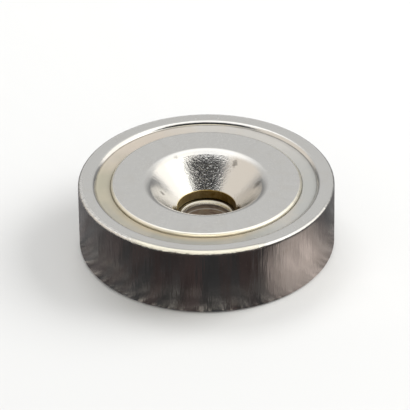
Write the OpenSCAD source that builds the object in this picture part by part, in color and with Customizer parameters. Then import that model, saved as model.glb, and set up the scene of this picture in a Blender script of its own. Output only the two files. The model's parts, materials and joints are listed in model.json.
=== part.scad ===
// Countersunk pot magnet for magnet fishing: a nickel-plated steel cup, a countersunk neodymium ring
// bonded into it, and cast resin filling the ring-shaped gap between the two.
// All pieces are turned about the Z axis. Z = 0 is the flat back, and +Z leaves the holding face.

/* [Cup] */
// Outside diameter of the steel cup
cup_d = 25; // [20:0.5:40]
// Height of the cup, from its flat back to its rim
cup_h = 7; // [6:0.1:12]
// Thickness of the cup's side wall at the pocket
cup_wall = 1.7; // [1.2:0.1:2.5]
// Radius of the rounding on the rim's outer edge
rim_round = 0.28; // [0.1:0.02:0.5]
// Width of the 45 degree chamfer on the rim's inner edge
rim_chamfer = 0.25; // [0.1:0.05:0.4]
// Radius of the rounding on the cup's bottom edge
base_round = 0.4; // [0.2:0.05:1]
// Radius of the fillet where the pocket's wall meets its floor
pocket_fillet = 0.4; // [0.1:0.05:0.6]

/* [Screw hole] */
// Diameter of the hole through the cup's floor
hole_d = 4.8; // [3.5:0.1:5.5]
// How much wider the hole's two mouths are, on the radius
hole_mouth = 0.18; // [0.05:0.01:0.3]
// How deep each of the hole's two mouths is
hole_mouth_h = 0.35; // [0.1:0.05:0.5]

/* [Magnet] */
// Thickness of the ring magnet
magnet_t = 3.75; // [3.2:0.05:4.5]
// How much wider the magnet's bore is than the screw hole, on the radius
bore_step = 0.45; // [0.3:0.05:0.8]
// Diameter at which the countersink's cone meets the magnet's face
sink_d = 11.4; // [9:0.1:12]
// Included angle of the countersink
sink_angle = 90; // [80:1:100]
// Radius of the rounding where the countersink meets the face
sink_round = 1.05; // [0.4:0.05:1.2]
// Radius of the rounding on the magnet's outer edges
magnet_round = 0.22; // [0.1:0.02:0.4]
// How far the magnet's face lies below the rim
magnet_recess = 0.05; // [0:0.01:0.2]

/* [Resin] */
// Width of the ring-shaped gap between the magnet and the cup's wall
gap_w = 1.5; // [1:0.1:2.5]
// How far the resin's surface lies below the rim
resin_recess = 0.38; // [0.26:0.02:0.8]
// Thickness of the adhesive film under the magnet
film_t = 0.08; // [0.04:0.02:0.2]
// How far the adhesive film stops short of the magnet's bore
film_setback = 0.15; // [0:0.05:0.4]

/* [Hidden] */
$fn = 128;
// Steps in each rounding's arc, and how far a cut runs past the face that it opens
round_steps = 6;
past = 1;

cup_r = cup_d / 2;
hole_r = hole_d / 2;
pocket_r = cup_r - cup_wall;
magnet_r = pocket_r - gap_w;
bore_r = hole_r + bore_step;
magnet_top = cup_h - magnet_recess;
magnet_bottom = magnet_top - magnet_t;
floor_t = magnet_bottom - film_t;
resin_top = cup_h - resin_recess;
sink_r = sink_d / 2;

// Points of an arc about centre c, from one angle to the other, either way round
function arc(c, r, from, to) =
    [for (i = [0 : round_steps]) let (a = from + (to - from) * i / round_steps) c + r * [cos(a), sin(a)]];

// The pocket's corner, which the cup and the resin share, walked from the wall down to the floor
function pocket_corner() =
    arc([pocket_r - pocket_fillet, floor_t + pocket_fillet], pocket_fillet, 0, -90);

module turned(outline) rotate_extrude() polygon(outline);

// A drawn cup: a thick floor with the screw hole, and one wall that carries the flux to the rim
module steel_cup() {
    color([0.78, 0.76, 0.72]) turned(concat(
        [[hole_r, hole_mouth_h], [hole_r + hole_mouth, 0]],
        arc([cup_r - base_round, base_round], base_round, -90, 0),
        arc([cup_r - rim_round, cup_h - rim_round], rim_round, 0, 90),
        [[pocket_r + rim_chamfer, cup_h], [pocket_r, cup_h - rim_chamfer]],
        pocket_corner(),
        [[hole_r + hole_mouth, floor_t], [hole_r, floor_t - hole_mouth_h]]
    ));
}

// What is cut away for the screw's head: a cone, with its mouth rounded over into the magnet's face.
// The rounding's arc touches the face and the cone, one tangent length from where those two meet.
module countersink() {
    half = sink_angle / 2;
    tangent = sink_round * tan((90 - half) / 2);
    translate([0, 0, magnet_top]) turned(concat(
        [[0, past], [0, -sink_r / tan(half)]],
        arc([sink_r + tangent, -sink_round], sink_round, 180 - half, 90),
        [[sink_r + tangent, past]]
    ));
}

// The sintered neodymium ring, with its rounded edges, plain bore and countersink
module ring_magnet() {
    color([0.80, 0.79, 0.76]) difference() {
        turned(concat(
            [[0, magnet_bottom]],
            arc([magnet_r - magnet_round, magnet_bottom + magnet_round], magnet_round, -90, 0),
            arc([magnet_r - magnet_round, magnet_top - magnet_round], magnet_round, 0, 90),
            [[0, magnet_top]]
        ));
        translate([0, 0, magnet_bottom - past]) cylinder(r = bore_r, h = magnet_t + 2 * past);
        countersink();
    }
}

// Resin cast into the gap. It fills the pocket's corner, and takes the magnet's lower rounding
module resin_ring() {
    color([0.76, 0.72, 0.60]) turned(concat(
        [[magnet_r, resin_top]],
        arc([magnet_r - magnet_round, magnet_bottom + magnet_round], magnet_round, 0, -90),
        [[magnet_r - magnet_round, floor_t]],
        [for (i = [round_steps : -1 : 0]) pocket_corner()[i]],
        [[pocket_r, resin_top]]
    ));
}

// The thin film of adhesive that holds the magnet's underside to the cup's floor
module bond_film() {
    color([0.62, 0.56, 0.42]) translate([0, 0, floor_t]) difference() {
        cylinder(r = magnet_r - magnet_round, h = film_t);
        translate([0, 0, -past]) cylinder(r = bore_r + film_setback, h = film_t + 2 * past);
    }
}

steel_cup();
ring_magnet();
resin_ring();
bond_film();
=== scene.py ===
"""Countersunk pot magnet: a nickel-plated steel cup with a ring magnet bonded into it.

Laid out as an add-on: property groups hold the sizes and colours, one operator makes each piece, and main()
calls them in order. All lengths are in metres, on the loaded frame's own axes.
"""

import json
import math

import bmesh
import bpy
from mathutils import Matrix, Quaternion, Vector

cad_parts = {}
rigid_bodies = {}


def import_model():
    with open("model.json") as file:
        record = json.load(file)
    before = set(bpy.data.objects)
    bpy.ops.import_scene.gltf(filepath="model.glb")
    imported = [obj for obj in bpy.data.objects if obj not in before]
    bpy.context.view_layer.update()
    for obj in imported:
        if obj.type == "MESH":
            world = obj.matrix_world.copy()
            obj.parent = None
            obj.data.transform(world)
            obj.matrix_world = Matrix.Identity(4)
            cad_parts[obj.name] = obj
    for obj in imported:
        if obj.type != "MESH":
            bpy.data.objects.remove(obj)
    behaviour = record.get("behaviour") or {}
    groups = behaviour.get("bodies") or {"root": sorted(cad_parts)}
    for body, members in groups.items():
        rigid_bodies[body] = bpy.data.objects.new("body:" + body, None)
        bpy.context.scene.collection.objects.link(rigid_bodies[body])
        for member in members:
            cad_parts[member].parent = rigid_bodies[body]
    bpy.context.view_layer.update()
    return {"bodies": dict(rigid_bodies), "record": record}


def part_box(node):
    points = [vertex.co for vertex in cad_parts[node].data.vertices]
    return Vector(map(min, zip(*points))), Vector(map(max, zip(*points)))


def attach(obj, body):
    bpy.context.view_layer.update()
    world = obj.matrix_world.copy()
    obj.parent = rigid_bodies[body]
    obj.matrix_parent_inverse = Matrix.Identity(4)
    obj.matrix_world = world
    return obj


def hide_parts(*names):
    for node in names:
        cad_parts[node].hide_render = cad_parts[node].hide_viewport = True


bl_info = {
    "name": "Countersunk Pot Magnet",
    "version": (1, 0, 0),
    "blender": (4, 5, 0),
    "location": "View3D > Sidebar > Pot Magnet",
    "description": "Builds a plated pot magnet piece by piece",
    "category": "Add Mesh",
}

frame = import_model()
BODY = next(iter(frame["bodies"]))
MM = 0.001
SNAP = 1e-6


def mount(name):
    """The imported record's entry for one mount."""
    return next(m for m in frame["record"]["mounts"] if m["name"] == name)


def outer_radius(node):
    """Radius of a turned node, from its box."""
    low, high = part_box(node)
    return (high[0] - low[0]) / 2


def heights(node):
    """Heights of a node's underside and top."""
    low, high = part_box(node)
    return low[2], high[2]


CUP_R, CUP_TOP = outer_radius("steel_cup"), heights("steel_cup")[1]
MAGNET_R = outer_radius("ring_magnet")
MAGNET_LOW, FACE = heights("ring_magnet")
POCKET_R = outer_radius("resin_ring")
FLOOR, RESIN_TOP = heights("resin_ring")
FILM_R = outer_radius("bond_film")
FILM_LOW, FILM_TOP = heights("bond_film")
HOLE_R = mount("screw_hole")["dims"]["r_mm"] * MM


# ---------------------------------------------------------------- sizes and colours


def length(name, description, default):
    """A size in metres, shown in the scene's own units."""
    return bpy.props.FloatProperty(
        name=name, description=description, default=default, min=0.0, precision=5, unit="LENGTH"
    )


def colour(name, description, default):
    """A colour without alpha."""
    return bpy.props.FloatVectorProperty(
        name=name, description=description, default=default, size=3, min=0.0, max=1.0, subtype="COLOR"
    )


class CupSizes(bpy.types.PropertyGroup):
    sides: bpy.props.IntProperty(name="Sides", description="Segments round the cup", default=640, min=64)
    rim_round: length("Rim rounding", "Radius on the rim's outer edge", 0.28 * MM)
    rim_chamfer: length("Rim chamfer", "Width of the chamfer on the rim's inner edge", 0.25 * MM)
    base_round: length("Base rounding", "Radius on the cup's bottom edge", 0.4 * MM)
    lip_round: length("Lip rounding", "Bevel between the rim's face and that chamfer", 0.13 * MM)
    lip_nicks: length("Lip nicks", "How far the rim's inner edge wanders", 0.015 * MM)
    pocket_fillet: length("Pocket fillet", "Radius where the pocket's wall meets its floor", 0.4 * MM)
    mouth: length("Hole mouth", "How much wider the screw hole's mouths are, on the radius", 0.18 * MM)
    mouth_depth: length("Hole mouth depth", "How deep the screw hole's mouths are", 0.35 * MM)
    burr: length("Burr", "How far the press pushed metal out at the rim's edge", 0.14 * MM)
    ridges: length("Ridges", "Height of the drawing marks down the wall", 0.024 * MM)
    waves: length("Waves", "Unevenness of the wall", 0.02 * MM)


class MagnetSizes(bpy.types.PropertyGroup):
    sides: bpy.props.IntProperty(name="Sides", description="Segments round the magnet", default=640, min=64)
    bore_r: length("Bore radius", "Radius of the plain bore", HOLE_R + 0.45 * MM)
    sink_r: length("Countersink radius", "Where the cone would meet the magnet's face", 5.7 * MM)
    sink_flare: length("Countersink flare", "How far the cone's mouth flares past that", 0.435 * MM)
    bend_r: length("Bend radius", "Where the cone starts to open out towards its mouth", 5.0 * MM)
    upper_slope: bpy.props.FloatProperty(
        name="Upper slope", description="Slope of the cone above that bend",
        default=math.radians(42), subtype="ANGLE",
    )
    lead: bpy.props.FloatProperty(
        name="Lead angle", description="Slope of the flare where it leaves the face",
        default=math.radians(10), subtype="ANGLE",
    )
    edge_round: length("Edge rounding", "Radius on the outer edges", 0.27 * MM)
    edge_waves: length("Edge waves", "Unevenness of the outer edge", 0.03 * MM)
    peel: length("Orange peel", "Height of the lumps that the plating has in the cone", 0.020 * MM)


class ResinSizes(bpy.types.PropertyGroup):
    sides: bpy.props.IntProperty(name="Sides", description="Segments round the resin", default=384, min=64)
    film_sides: bpy.props.IntProperty(
        name="Film sides", description="Segments round the film", default=256, min=64
    )
    climb: length("Climb", "How far the resin climbs the cup's wall", 0.09 * MM)
    gap: length("Gap", "Depth of the crevice left beside the magnet", 0.09 * MM)
    wander: length("Wander", "Unevenness of the resin's surface", 0.05 * MM)
    setback: length("Film setback", "From the magnet's bore back to the film's inner edge", 0.15 * MM)
    bead: length("Bead", "Size of the adhesive bead squeezed out under the magnet", 0.1 * MM)


class FinishColours(bpy.types.PropertyGroup):
    nickel: colour("Nickel", "Bright nickel plating", (0.70, 0.69, 0.665))
    nickel_warm: colour("Warm nickel", "Plating where it is thin or stained", (0.68, 0.66, 0.62))
    # The burr colour is also a painted highlight on the cup's burr, the screw hole's mouth and the magnet's
    # outer edge.
    burr: colour("Burr", "Bare bright metal on the burr", (0.90, 0.86, 0.73))
    worn: colour("Worn plating", "Plating dulled by knocks on the rim's edge", (0.74, 0.725, 0.69))
    bore: colour("Bore", "Dull plating inside the magnet's bore", (0.76, 0.64, 0.34))
    # In the bore this colour is partly a stain and partly painted shade on the right side. It also mottles
    # the adhesive.
    bore_dark: colour("Bore stain", "Darker, browner side of the bore", (0.24, 0.155, 0.035))
    hole: colour("Screw hole", "Thin plating inside the screw hole", (0.50, 0.41, 0.30))
    hole_rosy: colour("Rosy screw hole", "Stained marks inside the screw hole", (0.30, 0.21, 0.17))
    # The grime colour is also painted shade on the cup's land under the magnet, in the screw hole's darker
    # upper wall and along the resin's edges.
    grime: colour("Grime", "Dirt in corners and spots", (0.10, 0.09, 0.075))
    resin_aged: colour("Aged resin", "Yellowed resin", (0.305, 0.283, 0.215))
    resin_brown: colour("Brown resin", "Aged resin beside the magnet at the front", (0.29, 0.245, 0.165))
    resin_grey: colour("Grey resin", "Thin resin by the cup's wall at the front", (0.235, 0.23, 0.20))
    resin_rosy: colour("Rosy resin", "Resin that set with a pink cast", (0.41, 0.36, 0.305))
    resin_clear: colour("Clear resin", "Resin that shows the metal under it", (0.305, 0.305, 0.29))
    resin_pale: colour("Pale resin", "Clear resin at the back, where it is thinner", (0.39, 0.375, 0.35))
    adhesive: colour("Adhesive", "Cured film under the magnet", (0.035, 0.028, 0.02))
    # The dust colour also paints the pale ring in the screw hole, which is a painted reflection.
    dust: colour("Dust", "Pale specks", (0.72, 0.70, 0.66))


class StageSettings(bpy.types.PropertyGroup):
    floor: colour("Floor", "Plain floor", (0.66, 0.66, 0.655))
    elevation: bpy.props.FloatProperty(
        name="Elevation", description="Camera's height above the horizon",
        default=math.radians(33.2), subtype="ANGLE",
    )
    roll: bpy.props.FloatProperty(
        name="Roll", description="Camera's lean about its own axis",
        default=math.radians(0.75), subtype="ANGLE",
    )
    distance: length("Distance", "From the camera to the object", 0.4)
    lens: bpy.props.FloatProperty(
        name="Lens", description="Focal length in millimetres, on a 36 mm sensor", default=359.0, min=1.0
    )
    room: bpy.props.FloatProperty(name="Room light", description="Strength of the even light", default=0.8)


# ---------------------------------------------------------------- modelling by hand


def only(obj):
    """Select one object and nothing else."""
    bpy.ops.object.select_all(action="DESELECT")
    obj.select_set(True)
    bpy.context.view_layer.objects.active = obj


def begin_ring(name, sides, radius, height):
    """Start a turned piece from one circle, and leave it in edit mode with that circle selected."""
    bpy.ops.object.select_all(action="DESELECT")
    bpy.ops.mesh.primitive_circle_add(vertices=sides, radius=radius, location=(0, 0, height))
    obj = bpy.context.object
    obj.name = name
    obj.data.name = name
    bpy.ops.object.transform_apply(location=True, rotation=True, scale=True)
    bpy.ops.object.mode_set(mode="EDIT")
    bpy.ops.mesh.select_mode(type="EDGE")
    bpy.ops.mesh.select_all(action="SELECT")
    return obj


def turned(name, sides, corners):
    """Extrude a circle from corner to corner of a closed outline, as (radius, height) pairs."""
    obj = begin_ring(name, sides, *corners[0])
    for (radius, height), (next_radius, next_height) in zip(corners, corners[1:] + corners[:1]):
        bpy.ops.mesh.extrude_region_move(
            TRANSFORM_OT_translate={"value": (0, 0, next_height - height)}
        )
        widen = next_radius / radius
        bpy.ops.transform.resize(value=(widen, widen, 1), center_override=(0, 0, 0))
    bpy.ops.mesh.select_all(action="SELECT")
    bpy.ops.mesh.remove_doubles(threshold=SNAP)
    bpy.ops.mesh.normals_make_consistent(inside=False)
    return obj


def place_of(vertex):
    """A vertex's radius and height."""
    return math.hypot(vertex.co.x, vertex.co.y), vertex.co.z


def pick_edges(obj, test):
    """In edit mode, select the edges whose two ends, as (radius, height), pass a test."""
    bpy.ops.mesh.select_all(action="DESELECT")
    mesh = bmesh.from_edit_mesh(obj.data)
    for edge in mesh.edges:
        edge.select_set(test(*(place_of(v) for v in edge.verts)))
    bmesh.update_edit_mesh(obj.data)


def near(a, b):
    """Whether two (radius, height) places are the same."""
    return abs(a[0] - b[0]) < 4 * SNAP and abs(a[1] - b[1]) < 4 * SNAP


def round_corner(obj, corner, size, steps):
    """Bevel the circular edge at one corner."""
    pick_edges(obj, lambda a, b: near(a, corner) and near(b, corner))
    bpy.ops.mesh.bevel(offset=size, segments=steps, profile=0.5, affect="EDGES", clamp_overlap=False)


def add_rings(obj, start, end, cuts):
    """Cut new rings into the band whose edges run from one place to another."""
    pick_edges(obj, lambda a, b: near(a, start) and near(b, end) or near(a, end) and near(b, start))
    bpy.ops.mesh.subdivide(number_cuts=cuts)


def turn_of(vertex):
    """A vertex's angle about the axis in degrees: 0 along -Y, and 90 along +X."""
    return math.degrees(math.atan2(vertex.co.x, -vertex.co.y))


def weigh(obj, name, weight):
    """Give each vertex a weight in a new group, from its radius, height and turn."""
    group = obj.vertex_groups.new(name=name)
    for vertex in obj.data.vertices:
        value = weight(*place_of(vertex), turn_of(vertex))
        if value > 0:
            group.add([vertex.index], min(value, 1.0), "REPLACE")
    return group.name


def roughen(obj, name, size, height, group="", direction="NORMAL", depth=2, tall=1.0, middle=0.5):
    """Push the surface in and out by a cloudy texture, drawn out upwards if it is tall, and apply it."""
    texture = bpy.data.textures.new(name, type="CLOUDS")
    texture.noise_scale = size
    texture.noise_depth = depth
    bpy.ops.object.empty_add(location=(0, 0, 0))
    guide = bpy.context.object
    guide.scale = (1, 1, tall)
    bpy.context.view_layer.update()
    displace = obj.modifiers.new(name, "DISPLACE")
    displace.texture = texture
    displace.texture_coords = "OBJECT"
    displace.texture_coords_object = guide
    displace.direction = direction
    displace.strength = height
    displace.mid_level = middle
    displace.vertex_group = group
    only(obj)
    bpy.ops.object.modifier_apply(modifier=displace.name)
    bpy.data.objects.remove(guide)


def hump(value, centre, width):
    """1 at the centre, falling smoothly to 0 a width away."""
    x = min(abs(value - centre) / width, 1.0)
    return 0.5 + 0.5 * math.cos(math.pi * x)


def fade(value, low, high):
    """0 at the low value and 1 at the high one, straight between."""
    return min(max((value - low) / (high - low), 0.0), 1.0)


def finished(obj, node, material, smooth=40):
    """Shade a piece, give it its material, and put it in the place of its frame node."""
    if bpy.context.mode == "EDIT_MESH":
        bpy.ops.object.mode_set(mode="OBJECT")
    only(obj)
    bpy.ops.object.shade_smooth_by_angle(angle=math.radians(smooth))
    obj.data.materials.clear()
    obj.data.materials.append(material)
    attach(obj, BODY)
    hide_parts(node)


# ---------------------------------------------------------------- shader nodes


def add(tree, kind, inputs=None, **settings):
    """Add a node. Inputs take a value or another node's output."""
    node = tree.nodes.new(kind)
    for key, value in settings.items():
        setattr(node, key, value)
    for key, value in (inputs or {}).items():
        if isinstance(value, bpy.types.NodeSocket):
            tree.links.new(value, node.inputs[key])
        else:
            node.inputs[key].default_value = value
    return node


def maths(tree, operation, *values, clamp=False):
    """A Math node's result."""
    node = add(tree, "ShaderNodeMath", dict(enumerate(values)), operation=operation, use_clamp=clamp)
    return node.outputs[0]


def mix(tree, factor, a, b):
    """A colour mixed from two others."""
    node = add(tree, "ShaderNodeMix", data_type="RGBA")
    for index, value in ((0, factor), (6, a), (7, b)):
        if isinstance(value, bpy.types.NodeSocket):
            tree.links.new(value, node.inputs[index])
        else:
            node.inputs[index].default_value = value
    return node.outputs[2]


def rgba(value):
    """A colour property with alpha 1."""
    return (*value, 1.0)


def ramp(tree, value, low, high):
    """0 at the low value, 1 at the high one, smooth between."""
    node = add(tree, "ShaderNodeMapRange", {0: value, 1: low, 2: high}, interpolation_type="SMOOTHSTEP")
    return node.outputs[0]


def noise(tree, vector, size, detail=3.0, roughness=0.5, distortion=0.0):
    """A noise texture with features of about this size, in metres."""
    settings = {"Vector": vector, "Scale": 1 / size, "Detail": detail, "Roughness": roughness,
                "Distortion": distortion}
    return add(tree, "ShaderNodeTexNoise", settings).outputs[0]


def gritty(tree, vector, size):
    """A noise with much fine detail on its features of this size."""
    return noise(tree, vector, size, 4.0, 0.7)


def stretched(tree, vector, scale):
    """The coordinates, scaled along each axis."""
    return add(tree, "ShaderNodeVectorMath", {0: vector, 1: scale}, operation="MULTIPLY").outputs[0]


def new_group(name, inputs, outputs):
    """An empty node group with float and vector sockets, and its two end nodes."""
    tree = bpy.data.node_groups.new(name, "ShaderNodeTree")
    kinds = {"v": "NodeSocketVector", "f": "NodeSocketFloat"}
    for title, kind in inputs:
        tree.interface.new_socket(title, in_out="INPUT", socket_type=kinds[kind])
    for title, kind in outputs:
        tree.interface.new_socket(title, in_out="OUTPUT", socket_type=kinds[kind])
    return tree, tree.nodes.new("NodeGroupInput"), tree.nodes.new("NodeGroupOutput")


def group_once(name, build):
    """A node group, built the first time it is asked for."""
    return bpy.data.node_groups.get(name) or build(name)


def zone_group(name):
    """Where a point lies on a turned shape: its distance from the axis, its height, and its X and Y."""
    results = [("Radius", "f"), ("Height", "f"), ("X", "f"), ("Y", "f")]
    tree, given, out = new_group(name, [("Vector", "v")], results)
    flat = stretched(tree, given.outputs["Vector"], (1, 1, 0))
    radius = add(tree, "ShaderNodeVectorMath", {0: flat}, operation="LENGTH").outputs["Value"]
    axes = add(tree, "ShaderNodeSeparateXYZ", {0: given.outputs["Vector"]})
    tree.links.new(radius, out.inputs["Radius"])
    tree.links.new(axes.outputs["Z"], out.inputs["Height"])
    tree.links.new(axes.outputs["X"], out.inputs["X"])
    tree.links.new(axes.outputs["Y"], out.inputs["Y"])
    return tree


def grain_group(name):
    """Fine even grain of plating, with a broader cloudiness for tone."""
    tree, given, out = new_group(name, [("Vector", "v"), ("Scale", "f")], [("Grain", "f"), ("Cloud", "f")])
    vector = add(
        tree, "ShaderNodeVectorMath",
        {0: given.outputs["Vector"], "Scale": given.outputs["Scale"]}, operation="SCALE",
    ).outputs[0]
    tree.links.new(noise(tree, vector, 1.0, 6.0, 0.62), out.inputs["Grain"])
    tree.links.new(noise(tree, vector, 22.0, 3.0, 0.55, 0.6), out.inputs["Cloud"])
    return tree


def scratch_group(name):
    """Sparse hairline scratches, running several ways."""
    tree, given, out = new_group(name, [("Vector", "v"), ("Amount", "f")], [("Scratch", "f")])
    total = None
    for turn, size in ((0.5, 2.16 * MM), (1.9, 3.12 * MM), (2.7, 2.64 * MM)):
        turned_vector = add(
            tree, "ShaderNodeVectorRotate", {"Vector": given.outputs["Vector"], "Angle": turn},
            rotation_type="Z_AXIS",
        ).outputs[0]
        lines = noise(tree, stretched(tree, turned_vector, (30, 1, 30)), size, 2.0, 0.5, 0.25)
        line = ramp(tree, lines, 0.70, 0.76)
        total = line if total is None else maths(tree, "MAXIMUM", total, line)
    tree.links.new(maths(tree, "MULTIPLY", total, given.outputs["Amount"]), out.inputs["Scratch"])
    return tree


def dust_group(name):
    """Small round specks, few and uneven."""
    tree, given, out = new_group(name, [("Vector", "v"), ("Amount", "f")], [("Dust", "f")])
    cells = add(tree, "ShaderNodeTexVoronoi", {"Vector": given.outputs["Vector"], "Scale": 1500.0})
    speck = ramp(tree, cells.outputs["Distance"], 0.16, 0.06)
    patch = ramp(tree, noise(tree, given.outputs["Vector"], 2.5 * MM), 0.52, 0.66)
    total = both(tree, both(tree, speck, patch), given.outputs["Amount"])
    tree.links.new(total, out.inputs["Dust"])
    return tree


def spot_group(name):
    """A small smudge with a ragged edge, round one place in the plan."""
    tree, given, out = new_group(name, [("Vector", "v"), ("Centre", "v"), ("Size", "f")], [("Spot", "f")])
    apart = add(tree, "ShaderNodeVectorMath", {0: given.outputs["Vector"], 1: given.outputs["Centre"]},
                operation="SUBTRACT").outputs[0]
    flat = stretched(tree, apart, (1, 1, 0))
    away = add(tree, "ShaderNodeVectorMath", {0: flat}, operation="LENGTH").outputs["Value"]
    share = maths(tree, "DIVIDE", away, given.outputs["Size"])
    ragged = maths(tree, "MULTIPLY_ADD", noise(tree, given.outputs["Vector"], 0.2 * MM), 1.2, share)
    tree.links.new(ramp(tree, ragged, 1.6, 0.8), out.inputs["Spot"])
    return tree


def use_group(tree, group, **values):
    """Place a group in a material and set its inputs."""
    node = tree.nodes.new("ShaderNodeGroup")
    node.node_tree = group
    for key, value in values.items():
        if isinstance(value, bpy.types.NodeSocket):
            tree.links.new(value, node.inputs[key])
        else:
            node.inputs[key].default_value = value
    return node.outputs


def begin_material(name, **shader):
    """A material with one Principled shader, and the object's own coordinates."""
    material = bpy.data.materials.new(name)
    material.use_nodes = True
    tree = material.node_tree
    principled = tree.nodes["Principled BSDF"]
    for key, value in shader.items():
        principled.inputs[key.replace("_", " ")].default_value = value
    coordinates = tree.nodes.new("ShaderNodeTexCoord").outputs["Object"]
    return material, tree, principled, coordinates


def bump(tree, height, distance, under=None):
    """A bump of this height in metres, over another one if it is given."""
    inputs = {"Height": height, "Distance": distance, "Strength": 1.0}
    if under is not None:
        inputs["Normal"] = under
    return add(tree, "ShaderNodeBump", inputs).outputs[0]


def both(tree, a, b):
    """Where two masks meet."""
    return maths(tree, "MULTIPLY", a, b)


def between(tree, value, low, high, soft):
    """1 from the low value to the high one, falling to 0 over a soft distance outside them."""
    return both(tree, ramp(tree, value, low - soft, low), ramp(tree, value, high + soft, high))


def cup_plating(colours):
    """Bright nickel over drawn steel: streaks down the wall, a satin rim, a worn edge and a dull hole, with
    painted highlights on the burr and the hole's mouth and painted shade on the land under the magnet.
    """
    material, tree, principled, where = begin_material("cup_plating")
    zone = use_group(tree, group_once("Turned Zones", zone_group), Vector=where)
    grain = use_group(tree, group_once("Plating Grain", grain_group), Vector=where, Scale=9000.0)
    scratch = use_group(tree, group_once("Hairlines", scratch_group), Vector=where, Amount=1.0)
    dust = use_group(tree, group_once("Dust", dust_group), Vector=where, Amount=0.2)
    radius, height = zone["Radius"], zone["Height"]

    # The wall, the rim's inner edge and the rim's outer corner.
    wall = ramp(tree, radius, CUP_R - 0.35 * MM, CUP_R - 0.12 * MM)
    lip = between(tree, radius, POCKET_R - 0.05 * MM, POCKET_R + 0.3 * MM, 0.1 * MM)
    corner = both(
        tree, ramp(tree, radius, CUP_R - 0.45 * MM, CUP_R - 0.3 * MM),
        ramp(tree, height, CUP_TOP - 0.4 * MM, CUP_TOP - 0.2 * MM),
    )

    # The corner is knocked at the front left, and pressed and torn in the middle of the front.
    left, forward = ramp(tree, zone["X"], -2 * MM, -6 * MM), ramp(tree, zone["Y"], 3 * MM, -3 * MM)
    chips = ramp(tree, gritty(tree, where, 0.5 * MM), 0.36, 0.56)
    worn = both(tree, both(tree, corner, both(tree, left, forward)), chips)
    middle = between(tree, zone["X"], -6 * MM, 4 * MM, 2 * MM)
    pressed = both(tree, middle, ramp(tree, zone["Y"], 0.0, -3 * MM))
    dented = both(tree, corner, pressed)
    ragged = maths(tree, "MULTIPLY_ADD", gritty(tree, where, 0.45 * MM), -0.5 * MM, height)
    torn = ramp(tree, ragged, CUP_TOP - 0.46 * MM, CUP_TOP - 0.40 * MM)

    # The screw hole: its upper mouth, which gets a painted highlight, its wall, and the land round it under
    # the magnet's bore, which gets painted shade.
    mouth = both(
        tree, ramp(tree, radius, HOLE_R + 0.24 * MM, HOLE_R + 0.16 * MM),
        ramp(tree, height, FLOOR - 0.24 * MM, FLOOR - 0.12 * MM),
    )
    inside = both(
        tree, ramp(tree, radius, HOLE_R + 0.22 * MM, HOLE_R + 0.12 * MM),
        ramp(tree, height, FLOOR - 0.30 * MM, FLOOR - 0.42 * MM),
    )
    land = both(
        tree, between(tree, radius, HOLE_R + 0.20 * MM, HOLE_R + 0.8 * MM, 0.03 * MM),
        ramp(tree, height, FLOOR - 0.1 * MM, FLOOR - 0.02 * MM),
    )
    # Painted highlight: the cream burr colour lightens the torn burr at the front of the rim's corner,
    # where it is partly bright metal pushed out by the press. It also lightens the screw hole's mouth,
    # where it is only a highlight.
    burr_and_painted_highlight = maths(tree, "MAXIMUM", both(tree, dented, torn), maths(tree, "MULTIPLY", mouth, 0.55))

    stain = maths(tree, "MULTIPLY", ramp(tree, grain["Cloud"], 0.48, 0.72), 0.5)
    base = mix(tree, stain, rgba(colours.nickel), rgba(colours.nickel_warm))
    base = mix(tree, worn, base, rgba(colours.worn))
    base = mix(tree, burr_and_painted_highlight, base, rgba(colours.burr))
    base = mix(tree, inside, base, hole_colour(tree, where, height, colours))
    # Painted shade: the land under the magnet's bore is darkened with the grime colour.
    base = mix(tree, land, base, rgba(colours.grime))
    base = mix(tree, dust["Dust"], base, rgba(colours.dust))
    tree.links.new(base, principled.inputs["Base Color"])
    dull = maths(tree, "ADD", maths(tree, "MULTIPLY", inside, 0.7), maths(tree, "MULTIPLY", burr_and_painted_highlight, 0.6))
    tree.links.new(maths(tree, "SUBTRACT", 1.0, dull, clamp=True), principled.inputs["Metallic"])
    rough = maths(tree, "MULTIPLY_ADD", grain["Grain"], 0.12, 0.19)
    for mask, change in (
        (wall, -0.10), (lip, -0.14), (worn, 0.25), (burr_and_painted_highlight, 0.2), (inside, 0.25), (dust["Dust"], 0.4)
    ):
        rough = maths(tree, "MULTIPLY_ADD", mask, change, rough, clamp=True)
    tree.links.new(rough, principled.inputs["Roughness"])
    fine = bump(tree, grain["Grain"], 0.0016 * MM)
    lines = bump(tree, both(tree, wall_streaks(tree, where, height), wall), 0.045 * MM, fine)
    dents = both(tree, gritty(tree, where, 0.17 * MM), dented)
    knocks = bump(tree, dents, 0.13 * MM, lines)
    marks = bump(tree, maths(tree, "MULTIPLY", scratch["Scratch"], -1.0), 0.0015 * MM, knocks)
    tree.links.new(marks, principled.inputs["Normal"])
    return material


def wall_streaks(tree, where, height):
    """Drawing marks that run up the wall, with finer ones towards its foot."""
    upright = stretched(tree, where, (1, 1, 0.10))
    broad = noise(tree, upright, 0.55 * MM, 3.0, 0.6)
    narrow = noise(tree, upright, 0.18 * MM, 3.0, 0.6)
    low = ramp(tree, height, 0.62 * CUP_TOP, 0.05 * CUP_TOP)
    share = maths(tree, "MULTIPLY_ADD", low, 0.8, 0.2)
    return maths(tree, "ADD", maths(tree, "MULTIPLY", narrow, share), broad)


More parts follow.
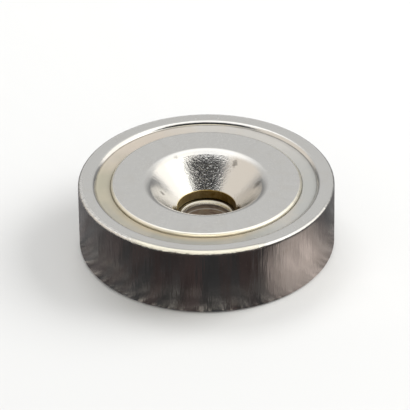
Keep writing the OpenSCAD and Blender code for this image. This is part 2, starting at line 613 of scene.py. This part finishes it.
def hole_colour(tree, where, height, colours):
    """Thin plating with rosy turning marks, darker towards the mouth, and one pale ring that is a painted
    reflection.
    """
    turning = gritty(tree, stretched(tree, where, (1, 1, 5)), 0.7 * MM)
    hole = mix(tree, ramp(tree, turning, 0.40, 0.62), rgba(colours.hole), rgba(colours.hole_rosy))
    shade = maths(tree, "MULTIPLY", ramp(tree, height, FLOOR - 1.02 * MM, FLOOR - 0.42 * MM), 0.75)
    hole = mix(tree, shade, hole, rgba(colours.grime))
    # Painted reflection: a pale ring in the dust colour stands in for the bright mouth reflected in the
    # hole's wall.
    painted_reflection_ring = between(tree, height, FLOOR - 0.90 * MM, FLOOR - 0.85 * MM, 0.05 * MM)
    return mix(tree, painted_reflection_ring, hole, rgba(colours.dust))


# Smudges in the cone, in millimetres: the place in the plan, and the size.
SMUDGES = (((5.0, 0.5, 0), 0.5), ((2.85, 4.2, 0), 0.4), ((-3.0, 4.87, 0), 0.35), ((-4.3, 0.2, 0), 0.3))


def magnet_plating(colours):
    """Satin nickel on a ground face, coarse in the cone with a few smudges, dull and stained inside the
    bore with painted shade on its right side, and a painted highlight round the outer edge.
    """
    material, tree, principled, where = begin_material("magnet_plating", Metallic=1.0)
    zone = use_group(tree, group_once("Turned Zones", zone_group), Vector=where)
    grain = use_group(tree, group_once("Plating Grain", grain_group), Vector=where, Scale=11000.0)
    scratch = use_group(tree, group_once("Hairlines", scratch_group), Vector=where, Amount=1.0)
    dust = use_group(tree, group_once("Dust", dust_group), Vector=where, Amount=0.8)
    inner = ramp(tree, zone["Radius"], 7.0 * MM, 6.0 * MM)
    cone = both(tree, ramp(tree, zone["Height"], FACE - 0.02 * MM, FACE - 0.30 * MM), inner)
    bore = ramp(tree, zone["Radius"], HOLE_R + 0.53 * MM, HOLE_R + 0.47 * MM)
    edge = ramp(tree, zone["Radius"], MAGNET_R - 0.26 * MM, MAGNET_R - 0.14 * MM)
    stain = maths(tree, "MULTIPLY", ramp(tree, grain["Cloud"], 0.5, 0.74), 0.45)
    # Partly stain and partly painted shade: blotches of the darker bore colour, and the bore's right side
    # darkened by a fixed gradient.
    blotch = maths(tree, "MULTIPLY_ADD", gritty(tree, where, 0.7 * MM), 1.2, -0.6)
    stain_and_painted_shade = maths(tree, "ADD", ramp(tree, zone["X"], -3.4 * MM, 1.6 * MM), blotch, clamp=True)
    base = mix(tree, stain, rgba(colours.nickel), rgba(colours.nickel_warm))
    base = mix(tree, bore, base, mix(tree, stain_and_painted_shade, rgba(colours.bore), rgba(colours.bore_dark)))
    # Painted highlight: the outer edge is lightened towards the burr colour.
    base = mix(tree, maths(tree, "MULTIPLY", edge, 0.8), base, rgba(colours.burr))
    smudges = None
    for centre, size in SMUDGES:
        spot = use_group(
            tree, group_once("Smudge", spot_group), Vector=where, Centre=Vector(centre) * MM, Size=size * MM
        )["Spot"]
        smudges = spot if smudges is None else maths(tree, "MAXIMUM", smudges, spot)
    smudges = maths(tree, "MULTIPLY", both(tree, smudges, cone), 0.6)
    base = mix(tree, smudges, base, rgba(colours.grime))
    base = mix(tree, dust["Dust"], base, rgba(colours.dust))
    tree.links.new(base, principled.inputs["Base Color"])
    rough = maths(tree, "MULTIPLY_ADD", grain["Grain"], 0.03, 0.255)
    for mask, change in ((cone, -0.18), (bore, 0.25), (edge, 0.08), (smudges, 0.3)):
        rough = maths(tree, "MULTIPLY_ADD", mask, change, rough, clamp=True)
    tree.links.new(rough, principled.inputs["Roughness"])
    fine = bump(tree, grain["Grain"], 0.0005 * MM)
    lumpy = bump(tree, both(tree, noise(tree, where, 0.13 * MM, 2.0, 0.6), cone), 0.015 * MM, fine)
    marks = bump(tree, maths(tree, "MULTIPLY", scratch["Scratch"], -1.0), 0.0015 * MM, lumpy)
    tree.links.new(marks, principled.inputs["Normal"])
    return material


def cast_resin(colours):
    """Epoxy, yellowed on one side, rosy at the back and clear on the other, with painted shade in patches
    along its edges.
    """
    material, tree, principled, where = begin_material("cast_resin", Coat_Roughness=0.18, Coat_Weight=0.35)
    zone = use_group(tree, group_once("Turned Zones", zone_group), Vector=where)
    grain = use_group(tree, group_once("Plating Grain", grain_group), Vector=where, Scale=5000.0)
    drift = maths(tree, "MULTIPLY_ADD", noise(tree, where, 4.0 * MM), 6.0 * MM, -3.0 * MM)
    rightward = maths(tree, "ADD", maths(tree, "MULTIPLY_ADD", zone["Y"], 0.45, zone["X"]), drift)
    clear = ramp(tree, rightward, -2.0 * MM, 5.0 * MM)
    back = ramp(tree, maths(tree, "ADD", zone["Y"], drift), 1.0 * MM, 7.0 * MM)
    near = ramp(tree, maths(tree, "ADD", zone["Y"], drift), -2.0 * MM, -8.0 * MM)
    aged = mix(tree, back, rgba(colours.resin_aged), rgba(colours.resin_rosy))
    thin = ramp(tree, zone["Radius"], MAGNET_R + 0.2 * MM, POCKET_R - 0.5 * MM)
    aged = mix(tree, near, aged, mix(tree, thin, rgba(colours.resin_brown), rgba(colours.resin_grey)))
    fresh = mix(tree, back, rgba(colours.resin_clear), rgba(colours.resin_pale))
    base = mix(tree, clear, aged, fresh)
    cloudy = maths(tree, "MULTIPLY", ramp(tree, grain["Cloud"], 0.45, 0.7), 0.2)
    base = mix(tree, cloudy, base, rgba(colours.hole))
    # Painted shade: patches of the grime colour in the crevices beside the magnet and the cup's wall.
    edges = maths(
        tree, "MAXIMUM", ramp(tree, zone["Radius"], MAGNET_R + 0.13 * MM, MAGNET_R + 0.05 * MM),
        ramp(tree, zone["Radius"], POCKET_R - 0.13 * MM, POCKET_R - 0.05 * MM),
    )
    grime = both(tree, edges, maths(tree, "MULTIPLY", noise(tree, where, 0.8 * MM), 0.9))
    base = mix(tree, grime, base, rgba(colours.grime))
    tree.links.new(base, principled.inputs["Base Color"])
    tree.links.new(maths(tree, "MULTIPLY_ADD", grain["Grain"], 0.2, 0.3), principled.inputs["Roughness"])
    tree.links.new(bump(tree, grain["Grain"], 0.004 * MM), principled.inputs["Normal"])
    return material


def adhesive(colours):
    """Dark cured film."""
    material, tree, principled, where = begin_material("adhesive")
    grain = use_group(tree, group_once("Plating Grain", grain_group), Vector=where, Scale=6000.0)
    base = mix(tree, grain["Cloud"], rgba(colours.adhesive), rgba(colours.bore_dark))
    tree.links.new(base, principled.inputs["Base Color"])
    tree.links.new(maths(tree, "MULTIPLY_ADD", grain["Grain"], 0.3, 0.25), principled.inputs["Roughness"])
    tree.links.new(bump(tree, grain["Grain"], 0.006 * MM), principled.inputs["Normal"])
    return material


# ---------------------------------------------------------------- the pieces


class POT_OT_cup(bpy.types.Operator):
    """Turn the steel cup, with its pocket, rim, screw hole and burred edges"""

    bl_idname = "pot_magnet.cup"
    bl_label = "Steel Cup"

    def execute(self, context):
        sizes = context.scene.pot_cup
        rim, base, corner = (CUP_R, CUP_TOP), (CUP_R, 0.0), (POCKET_R, FLOOR)
        lip = (POCKET_R + sizes.rim_chamfer, CUP_TOP)
        lip_foot = (POCKET_R, CUP_TOP - sizes.rim_chamfer)
        mouth_r = HOLE_R + sizes.mouth
        mouth, throat = (mouth_r, FLOOR), (HOLE_R, FLOOR - sizes.mouth_depth)
        # Two extra rings on the underside keep it flat where the edges beside it are rounded.
        back_inner, back_outer = mouth_r + 0.2 * MM, CUP_R - 1.2 * sizes.base_round
        obj = turned("plated_cup", sizes.sides, [
            (mouth_r, 0.0), (back_inner, 0.0), (back_outer, 0.0), base, rim,
            lip, lip_foot, corner, mouth, throat, (HOLE_R, sizes.mouth_depth),
        ])
        round_corner(obj, rim, sizes.rim_round, steps=8)
        round_corner(obj, base, sizes.base_round, steps=6)
        round_corner(obj, corner, sizes.pocket_fillet, steps=4)
        round_corner(obj, lip, sizes.lip_round, steps=6)
        round_corner(obj, lip_foot, 0.1 * sizes.rim_chamfer, steps=3)
        round_corner(obj, mouth, 0.2 * sizes.mouth_depth, steps=3)
        round_corner(obj, throat, 0.2 * sizes.mouth_depth, steps=3)
        add_rings(obj, (CUP_R, sizes.base_round), (CUP_R, CUP_TOP - sizes.rim_round), cuts=28)
        add_rings(obj, (CUP_R - sizes.rim_round, CUP_TOP), (lip[0] + sizes.lip_round, CUP_TOP), cuts=5)
        bpy.ops.object.mode_set(mode="OBJECT")

        def burr_weight(r, z, turn):
            """Strongest at the front, a little left of the middle."""
            front = 0.2 + 0.8 * hump(turn, -8, 55)
            outer = fade(r, CUP_R - 0.35 * MM, CUP_R - 0.1 * MM)
            return front * hump(z, CUP_TOP - 0.1 * MM, 0.4 * MM) * outer

        def lip_weight(r, z, turn):
            return hump(r, lip[0], 0.3 * MM) if z > CUP_TOP - 0.4 * MM else 0

        def wall_weight(r, z, turn):
            return 1.0 if r > CUP_R - 0.5 * MM and sizes.base_round < z < CUP_TOP - 0.5 * MM else 0

        roughen(obj, "rim_burr", 0.36 * MM, sizes.burr, weigh(obj, "burred_rim", burr_weight), middle=0.45)
        roughen(obj, "lip_nicks", 0.35 * MM, sizes.lip_nicks, weigh(obj, "burred_lip", lip_weight))
        wall = weigh(obj, "wall", wall_weight)
        roughen(obj, "wall_waves", 2.2 * MM, sizes.waves, wall)
        roughen(obj, "wall_ridges", 0.5 * MM, sizes.ridges, wall, tall=14.0)
        finished(obj, "steel_cup", cup_plating(context.scene.pot_finish))
        return {"FINISHED"}


class POT_OT_magnet(bpy.types.Operator):
    """Turn the ring magnet, with its bore, countersink and the lumpy plating in the cone"""

    bl_idname = "pot_magnet.magnet"
    bl_label = "Ring Magnet"

    def execute(self, context):
        sizes = context.scene.pot_magnet
        edge, foot = (MAGNET_R, FACE), (MAGNET_R, MAGNET_LOW)
        mouth = (sizes.sink_r + sizes.sink_flare, FACE)
        bend = (sizes.bend_r, FACE - (sizes.sink_r - sizes.bend_r))
        throat = (sizes.bore_r, FACE - (sizes.sink_r - sizes.bore_r))
        flare = self.flare(sizes, mouth, bend)
        soft_bend, soft_throat = 0.3 * MM, 0.03 * MM
        # Two extra rings on the face keep it flat where the edges beside it are rounded.
        face_outer, face_inner = MAGNET_R - 1.2 * sizes.edge_round, mouth[0] + 0.1 * MM
        obj = turned("plated_magnet", sizes.sides, [
            (sizes.bore_r, MAGNET_LOW), foot, edge, (face_outer, FACE), (face_inner, FACE),
            mouth, flare, bend, throat,
        ])
        round_corner(obj, edge, sizes.edge_round, steps=8)
        round_corner(obj, foot, sizes.edge_round, steps=4)
        round_corner(obj, flare, 0.8 * math.dist(mouth, flare), steps=12)
        round_corner(obj, mouth, 0.03 * MM, steps=3)
        round_corner(obj, bend, soft_bend, steps=6)
        round_corner(obj, throat, soft_throat, steps=4)
        # The cone slopes at 45 degrees, so this is how much of a bevel's width lies along each axis.
        slant = math.sqrt(0.5)
        cone_top = (bend[0] - soft_bend * slant, bend[1] - soft_bend * slant)
        cone_foot = (throat[0] + soft_throat * slant, throat[1] + soft_throat * slant)
        add_rings(obj, cone_top, cone_foot, cuts=44)
        add_rings(obj, (throat[0], throat[1] - soft_throat), (throat[0], MAGNET_LOW), cuts=6)
        bpy.ops.object.mode_set(mode="OBJECT")

        def edge_weight(r, z, turn):
            return hump(r, MAGNET_R, 0.6 * MM) if z > FACE - 0.6 * MM else 0

        def cone_weight(r, z, turn):
            """Strongest at the back."""
            back = 0.4 + 0.6 * hump(abs(turn), 180, 50)
            return back * min((FACE - z) / (0.15 * MM), 1.0) if r < mouth[0] else 0

        roughen(obj, "edge_waves", 0.7 * MM, sizes.edge_waves, weigh(obj, "edge", edge_weight))
        roughen(obj, "peel", 0.15 * MM, sizes.peel, weigh(obj, "cone", cone_weight), depth=1)
        finished(obj, "ring_magnet", magnet_plating(context.scene.pot_finish))
        return {"FINISHED"}

    def flare(self, sizes, mouth, bend):
        """The corner where the flare, at its lead angle, meets the upper slope."""
        fall, rise = math.tan(sizes.lead), math.tan(sizes.upper_slope)
        radius = (bend[0] * rise - mouth[0] * fall + FACE - bend[1]) / (rise - fall)
        return radius, FACE - (mouth[0] - radius) * fall


class POT_OT_resin(bpy.types.Operator):
    """Cast the resin ring, which climbs the cup's wall, and the film under the magnet"""

    bl_idname = "pot_magnet.resin"
    bl_label = "Resin and Film"

    def execute(self, context):
        scene = context.scene
        self.ring(scene.pot_resin, scene.pot_finish)
        self.film(scene.pot_resin, scene.pot_finish, scene.pot_magnet.bore_r)
        return {"FINISHED"}

    def ring(self, sizes, colours):
        """The ring, drawn up at the cup's wall and with a crevice beside the magnet."""
        half = (POCKET_R - MAGNET_R) / 2
        middle = MAGNET_R + half
        inner, outer = (MAGNET_R, RESIN_TOP), (POCKET_R, RESIN_TOP)
        obj = turned("resin_fill", sizes.sides, [(MAGNET_R, FLOOR), (POCKET_R, FLOOR), outer, inner])
        add_rings(obj, outer, inner, cuts=36)
        bpy.ops.object.mode_set(mode="OBJECT")
        for vertex in obj.data.vertices:
            r, z = place_of(vertex)
            if z > RESIN_TOP - SNAP:
                vertex.co.z += sizes.climb * max((r - middle) / half, 0) ** 5
                vertex.co.z -= sizes.gap * hump(r, MAGNET_R, 0.14 * MM)

        def surface_weight(r, z, turn):
            return 1.0 if z > RESIN_TOP - SNAP and abs(r - middle) < half - SNAP else 0

        surface = weigh(obj, "surface", surface_weight)
        roughen(obj, "resin_wander", 1.3 * MM, sizes.wander, surface, direction="Z")
        finished(obj, "resin_ring", cast_resin(colours), smooth=60)

    def film(self, sizes, colours, bore_r):
        """The thin film, with a bead along its inner edge."""
        inside = bore_r + sizes.setback
        bead_end = inside + sizes.bead
        soft = 0.4 * (FILM_TOP - FILM_LOW)
        obj = turned("adhesive_film", sizes.film_sides, [
            (inside, FILM_LOW), (bead_end, FILM_LOW), (FILM_R, FILM_LOW),
            (FILM_R, FILM_TOP), (bead_end, FILM_TOP), (inside, FILM_TOP),
        ])
        round_corner(obj, (inside, FILM_TOP), soft, steps=3)
        round_corner(obj, (inside, FILM_LOW), soft, steps=3)
        bpy.ops.object.mode_set(mode="OBJECT")

        def bead_weight(r, z, turn):
            return 1.0 if r < inside + sizes.bead / 2 else 0

        roughen(obj, "bead_wander", 0.6 * MM, sizes.bead, weigh(obj, "bead", bead_weight))
        finished(obj, "bond_film", adhesive(colours))


# ---------------------------------------------------------------- the stage


def softbox(name, place, size, power):
    """A rectangular area light, aimed at the object and left out of reflections."""
    data = bpy.data.lights.new(name, "AREA")
    data.shape = "RECTANGLE"
    data.size, data.size_y = size
    data.energy = power
    obj = bpy.data.objects.new(name, data)
    obj.location = place
    obj.rotation_mode = "QUATERNION"
    obj.rotation_quaternion = (-place).to_track_quat("-Z", "Y")
    obj.visible_glossy = False
    bpy.context.scene.collection.objects.link(obj)


def polar(azimuth, elevation, distance):
    """A place round the object: azimuth 0 is along +Y, 90 along +X."""
    round_it, up = math.radians(azimuth), math.radians(elevation)
    flat = math.cos(up)
    return Vector((math.sin(round_it) * flat, math.cos(round_it) * flat, math.sin(up))) * distance


# How bright the room looks to the metal at each height, from the horizon at 0 to overhead at 1.
ROOM_LEVELS = (
    (0.0, 0.22), (0.15, 0.29), (0.28, 0.40), (0.40, 0.58), (0.48, 0.69), (0.62, 0.67), (0.76, 1.2),
    (0.88, 1.75), (0.95, 1.5), (1.0, 1.3),
)

# What stands out in the room: azimuth, elevation, inner and outer angle in degrees, and colour.
ROOM_PATCHES = (
    (97, 38, 32, 49, (1.5, 1.45, 1.38)),
    (108, 44, 8, 26, (2.1, 2.08, 2.0)),
    (180, 18, 14, 42, (1.9, 1.75, 1.35)),
    (-85, 28, 18, 48, (0.93, 0.86, 0.78)),
)


class POT_OT_stage(bpy.types.Operator):
    """Set out the floor, the lights, the room that the metal reflects, a glowing card whose glow paints
    reflections on the cup's wall, and the camera
    """

    bl_idname = "pot_magnet.stage"
    bl_label = "Stage"

    def execute(self, context):
        settings = context.scene.pot_stage
        self.floor(settings)
        self.room(settings)
        self.table()
        self.camera(settings)
        context.scene.view_settings.view_transform = "Standard"
        return {"FINISHED"}

    def floor(self, settings):
        """A plain pale floor."""
        bpy.ops.object.select_all(action="DESELECT")
        bpy.ops.mesh.primitive_plane_add(size=3.0, location=(0, 0, 0))
        obj = bpy.context.object
        obj.name = "floor"
        material, _, principled, _ = begin_material("floor", Roughness=0.7)
        principled.inputs["Base Color"].default_value = rgba(settings.floor)
        obj.data.materials.append(material)

    def room(self, settings):
        """What lights the floor evenly, and what the metal sees: windows, a warm wall and a dark corner."""
        world = bpy.data.worlds.new("room")
        world.use_nodes = True
        bpy.context.scene.world = world
        tree = world.node_tree
        toward = tree.nodes.new("ShaderNodeTexCoord").outputs["Generated"]
        height = add(tree, "ShaderNodeSeparateXYZ", {0: toward}).outputs["Z"]
        seen = tree.nodes.new("ShaderNodeValToRGB")
        tree.links.new(height, seen.inputs[0])
        for place, level in ROOM_LEVELS[1:-1]:
            seen.color_ramp.elements.new(place)
        for element, (place, level) in zip(seen.color_ramp.elements, ROOM_LEVELS):
            element.position = place
            element.color = (level, level, level, 1)
        view = seen.outputs[0]
        above = ramp(tree, height, 0.0, 0.2)
        for azimuth, elevation, inner, outer, tint in ROOM_PATCHES:
            patch = self.patch(tree, toward, azimuth, elevation, inner, outer)
            view = mix(tree, both(tree, patch, above), view, (*tint, 1))
        view = mix(tree, self.dark_corner(tree, toward), view, (0.05, 0.05, 0.052, 1))
        glossy = tree.nodes.new("ShaderNodeLightPath").outputs["Is Glossy Ray"]
        even = (settings.room, settings.room, 0.99 * settings.room, 1)
        tree.links.new(mix(tree, glossy, even, view), tree.nodes["Background"].inputs["Color"])
        for name, place, size, power in (
            ("window", polar(75, 38, 0.5), (0.36, 0.30), 2.2),
            ("back_window", polar(-20, 60, 0.5), (0.3, 0.2), 0.8),
        ):
            softbox(name, place, size, power)

    def patch(self, tree, toward, azimuth, elevation, inner, outer):
        """A mask round one direction, in degrees, 1 within the inner angle and 0 past the outer one."""
        ends = {0: toward, 1: polar(azimuth, elevation, 1.0)}
        cosine = add(tree, "ShaderNodeVectorMath", ends, operation="DOT_PRODUCT").outputs["Value"]
        return ramp(tree, cosine, math.cos(math.radians(outer)), math.cos(math.radians(inner)))

    def dark_corner(self, tree, toward):
        """The unlit side of the room: the upper part of what is behind the camera."""
        axes = add(tree, "ShaderNodeSeparateXYZ", {0: toward})
        aside = maths(tree, "ABSOLUTE", axes.outputs["X"])
        behind = maths(tree, "MULTIPLY_ADD", aside, -0.16, axes.outputs["Y"])
        upper = ramp(tree, axes.outputs["Z"], 0.62, 0.76)
        return both(tree, ramp(tree, behind, -0.35, -0.46), upper)

    def table(self):
        """A glowing card that stands in for a dark table, paler on the right, and that only reflections
        show: its glow paints the reflections on the cup's wall.
        """
        bpy.ops.object.select_all(action="DESELECT")
        bpy.ops.mesh.primitive_plane_add(size=0.4, location=(0, 0, 0.02 * MM))
        obj = bpy.context.object
        obj.name = "glowing_reflection_card"
        material = bpy.data.materials.new("glowing_reflection_card")
        material.use_nodes = True
        tree = material.node_tree
        tree.nodes.clear()
        where = tree.nodes.new("ShaderNodeTexCoord").outputs["Object"]
        out = add(tree, "ShaderNodeVectorMath", {0: where}, operation="LENGTH").outputs["Value"]
        rays = self.rays(tree, where, out)
        level = maths(tree, "MULTIPLY_ADD", noise(tree, rays, 0.05, 4.0, 0.65), 2.6, -0.3)
        shown = self.reflection_glow_colour(tree, where, out, rays)
        # The card glows though it is no lamp: its glow is a painted reflection in the metal.
        glow = add(tree, "ShaderNodeEmission", {"Color": shown, "Strength": level})
        add(tree, "ShaderNodeOutputMaterial", {"Surface": glow.outputs[0]})
        obj.data.materials.append(material)
        obj.visible_camera = False
        obj.visible_shadow = False
        obj.visible_diffuse = False

    def rays(self, tree, where, out):
        """Coordinates that turn a noise into streaks running out from the cup."""
        way = add(tree, "ShaderNodeVectorMath", {0: where}, operation="NORMALIZE").outputs[0]
        nearby = maths(tree, "MINIMUM", out, 25 * MM)
        outward = add(tree, "ShaderNodeCombineXYZ", {"Z": maths(tree, "MULTIPLY", nearby, 10.0)}).outputs[0]
        return add(tree, "ShaderNodeVectorMath", {0: way, 1: outward}, operation="ADD").outputs[0]

    def reflection_glow_colour(self, tree, where, out, rays):
        """The card's glow, which is a painted reflection: dark and partly rosy in front, paler behind and
        far off, with one pale place, and pale specks near the cup as painted highlights.
        """
        rosy = ramp(tree, noise(tree, rays, 0.12), 0.44, 0.58)
        base = mix(tree, rosy, (0.035, 0.035, 0.036, 1), (0.049, 0.036, 0.035, 1))
        behind = ramp(tree, add(tree, "ShaderNodeSeparateXYZ", {0: where}).outputs["Y"], -19 * MM, 25 * MM)
        base = mix(tree, behind, base, (0.24, 0.235, 0.24, 1))
        ends = {0: where, 1: (14.2 * MM, -8.3 * MM, 0)}
        away = add(tree, "ShaderNodeVectorMath", ends, operation="DISTANCE").outputs["Value"]
        base = mix(tree, ramp(tree, away, 10 * MM, 1.5 * MM), base, (0.55, 0.47, 0.435, 1))
        base = mix(tree, ramp(tree, out, 28 * MM, 100 * MM), base, (0.21, 0.205, 0.205, 1))
        # Painted highlights: pale specks in the glow near the cup, which show as small bright marks on its
        # wall.
        painted_highlight_flecks = ramp(tree, noise(tree, rays, 0.022, 3.0, 0.7), 0.50, 0.66)
        close = ramp(tree, out, CUP_R + 6 * MM, CUP_R)
        painted_highlight_flecks = maths(tree, "MULTIPLY", both(tree, painted_highlight_flecks, close), 0.7)
        return mix(tree, painted_highlight_flecks, base, (0.45, 0.41, 0.37, 1))

    def camera(self, settings):
        """The camera, aimed a little above and left of the object's middle."""
        back = Vector((0, -math.cos(settings.elevation), math.sin(settings.elevation)))
        turn = (-back).to_track_quat("-Z", "Y") @ Quaternion((0, 0, 1), -settings.roll)
        right, up = turn @ Vector((1, 0, 0)), turn @ Vector((0, 1, 0))
        middle = Vector((0, 0, CUP_TOP / 2))
        above, leftward = 0.616 * MM, 0.157 * MM
        aim = middle + up * above - right * leftward
        data = bpy.data.cameras.new("camera")
        data.lens = settings.lens
        data.sensor_width = 36
        data.clip_start = 0.01
        obj = bpy.data.objects.new("camera", data)
        obj.location = aim + back * settings.distance
        obj.rotation_mode = "QUATERNION"
        obj.rotation_quaternion = turn
        bpy.context.scene.collection.objects.link(obj)
        bpy.context.scene.camera = obj


class POT_PT_panel(bpy.types.Panel):
    """Sizes, colours and build buttons"""

    bl_idname = "POT_PT_panel"
    bl_label = "Pot Magnet"
    bl_space_type = "VIEW_3D"
    bl_region_type = "UI"
    bl_category = "Pot Magnet"

    def draw(self, context):
        steps = (
            ("pot_cup", POT_OT_cup), ("pot_magnet", POT_OT_magnet), ("pot_resin", POT_OT_resin),
            ("pot_finish", None), ("pot_stage", POT_OT_stage),
        )
        for group, operator in steps:
            box = self.layout.box()
            settings = getattr(context.scene, group)
            for name in settings.__annotations__:
                box.prop(settings, name)
            if operator:
                box.operator(operator.bl_idname)


GROUPS = {
    "pot_cup": CupSizes, "pot_magnet": MagnetSizes, "pot_resin": ResinSizes,
    "pot_finish": FinishColours, "pot_stage": StageSettings,
}
CLASSES = (*GROUPS.values(), POT_OT_cup, POT_OT_magnet, POT_OT_resin, POT_OT_stage, POT_PT_panel)


def register():
    for cls in CLASSES:
        bpy.utils.register_class(cls)
    for name, group in GROUPS.items():
        setattr(bpy.types.Scene, name, bpy.props.PointerProperty(type=group))


def unregister():
    for name in GROUPS:
        delattr(bpy.types.Scene, name)
    for cls in reversed(CLASSES):
        bpy.utils.unregister_class(cls)


def main():
    """Build everything."""
    register()
    bpy.ops.pot_magnet.cup()
    bpy.ops.pot_magnet.magnet()
    bpy.ops.pot_magnet.resin()
    bpy.ops.pot_magnet.stage()


if __name__ == "__main__":
    main()
